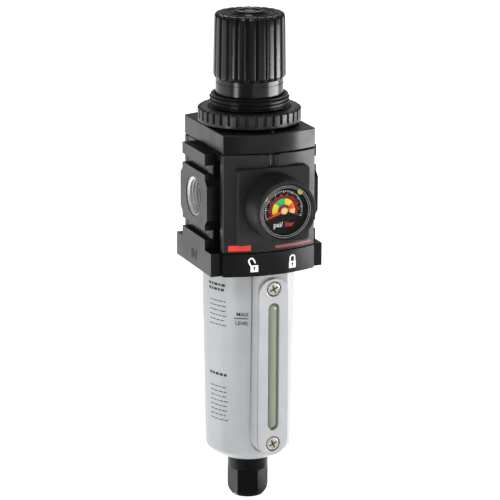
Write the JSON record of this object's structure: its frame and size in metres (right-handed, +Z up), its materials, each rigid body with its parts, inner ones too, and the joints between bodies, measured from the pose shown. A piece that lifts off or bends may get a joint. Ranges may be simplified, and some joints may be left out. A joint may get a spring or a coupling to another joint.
{
  "type": "air pressure regulator",
  "caption": "Modular air filter-regulator: ported body with front gauge, knob-set spring bonnet above and quarter-turn filter bowl with sight glass and drain below.",
  "frame": {"origin": "where the axis through both ports crosses the axis of knob, valve and bowl", "axes": "+X from inlet to outlet, -Y towards the gauge at the front, +Z up through the knob"},
  "size_m": [0.067, 0.0898, 0.2835],
  "materials": {
    "black_paint": "semi-gloss powder coat on die casting",
    "black_plastic": "satin moulded",
    "silver_paint": "satin silver-grey paint on die casting",
    "steel": "machined",
    "aluminium": "turned",
    "brass": "machined",
    "rubber": "matt",
    "white_plastic": "moulded acetal",
    "filter_media": "porous sintered",
    "sight_glass": "clear moulded, faint green",
    "clear_lens": "clear polished",
    "dial": "printed matt",
    "needle_red": "painted",
    "set_yellow": "painted"
  },
  "bodies": {
    "housing": {"body": "black_paint", "front_cover": "black_plastic", "rear_cover": "black_plastic", "rear_port_plug": "steel", "bonnet": "black_paint", "bonnet_screw_1": "steel", "bonnet_screw_2": "steel", "bonnet_screw_3": "steel", "bonnet_screw_4": "steel", "thrust_washer": "white_plastic", "range_spring": "steel", "diaphragm": "rubber", "valve_seat": "brass", "valve_spring": "steel", "valve_guide": "white_plastic", "air_guide": "white_plastic", "filter_element": "filter_media", "baffle": "white_plastic", "element_retainer": "white_plastic", "gauge_case": "black_plastic", "gauge_bezel": "black_plastic", "gauge_lens": "clear_lens", "gauge_dial": "dial", "gauge_socket": "brass", "gauge_seal": "rubber", "gauge_movement": "brass", "bourdon_tube": "brass"},
    "nut": {"panel_nut": "black_plastic"},
    "screw": {"adjusting_screw": "steel"},
    "knob": {"adjusting_knob": "black_plastic", "knob_cap": "black_plastic"},
    "spring_carrier": {"spring_seat": "brass"},
    "sensing": {"diaphragm_plate": "aluminium", "relief_seat": "brass"},
    "valve": {"valve_poppet": "brass"},
    "filter_bowl": {"bowl": "silver_paint", "bowl_seal": "rubber", "sight_glass_gasket": "rubber", "sight_glass": "sight_glass", "sight_plate": "silver_paint", "sight_plate_screw_upper": "steel", "sight_plate_screw_lower": "steel"},
    "drain_grip": {"drain_knob": "black_plastic"},
    "drain_valve": {"drain_stem": "brass", "drain_seal": "rubber"},
    "needle": {"gauge_needle": "needle_red"},
    "low_pointer": {"low_set_pointer": "set_yellow"},
    "high_pointer": {"high_set_pointer": "set_yellow"}
  },
  "joints": [
    {"name": "screw_turn", "type": "hinge", "parent": "housing", "child": "screw", "pos_m": [0, 0, 0.09], "axis": [0, 0, 1], "range_deg": [-2160, 0]},
    {"name": "knob_pull", "type": "slide", "parent": "screw", "child": "knob", "axis": [0, 0, 1], "range_m": [0, 0.004]},
    {"name": "spring_seat_slide", "type": "slide", "parent": "housing", "child": "spring_carrier", "axis": [0, 0, 1], "range_m": [-0.009, 0], "deforming": ["range_spring"]},
    {"name": "diaphragm_slide", "type": "slide", "parent": "housing", "child": "sensing", "axis": [0, 0, 1], "range_m": [-0.0015, 0], "stiffness_N_per_m": 3000, "springref_m": 0.0005, "deforming": ["diaphragm"]},
    {"name": "valve_slide", "type": "slide", "parent": "housing", "child": "valve", "axis": [0, 0, 1], "range_m": [-0.0015, 0], "deforming": ["valve_spring"]},
    {"name": "panel_nut_turn", "type": "hinge", "parent": "housing", "child": "nut", "pos_m": [0, 0, 0.045], "axis": [0, 0, 1], "continuous": true},
    {"name": "bowl_turn", "type": "hinge", "parent": "housing", "child": "filter_bowl", "pos_m": [0, 0, -0.04], "axis": [0, 0, 1], "range_deg": [-40, 0]},
    {"name": "drain_knob_turn", "type": "hinge", "parent": "filter_bowl", "child": "drain_grip", "pos_m": [0, 0, -0.165], "axis": [0, 0, 1], "range_deg": [0, 360]},
    {"name": "drain_stem_slide", "type": "slide", "parent": "filter_bowl", "child": "drain_valve", "axis": [0, 0, 1], "range_m": [0, 0.0016]},
    {"name": "needle_turn", "type": "hinge", "parent": "housing", "child": "needle", "pos_m": [0, -0.05, 0.0005], "axis": [0, 1, 0], "range_deg": [0, 225], "stiffness_Nm_per_rad": 0.0005},
    {"name": "low_pointer_turn", "type": "hinge", "parent": "housing", "child": "low_pointer", "pos_m": [0, -0.05, 0.0005], "axis": [0, 1, 0], "range_deg": [-56, 166]},
    {"name": "high_pointer_turn", "type": "hinge", "parent": "housing", "child": "high_pointer", "pos_m": [0, -0.05, 0.0005], "axis": [0, 1, 0], "range_deg": [-155, 67]}
  ],
  "couplings": [
    {"joint": "spring_seat_slide", "follows": "screw_turn", "m_per_rad": 0.0002387},
    {"joint": "valve_slide", "follows": "diaphragm_slide", "ratio": 1},
    {"joint": "drain_stem_slide", "follows": "drain_knob_turn", "m_per_rad": 0.0002387}
  ]
}
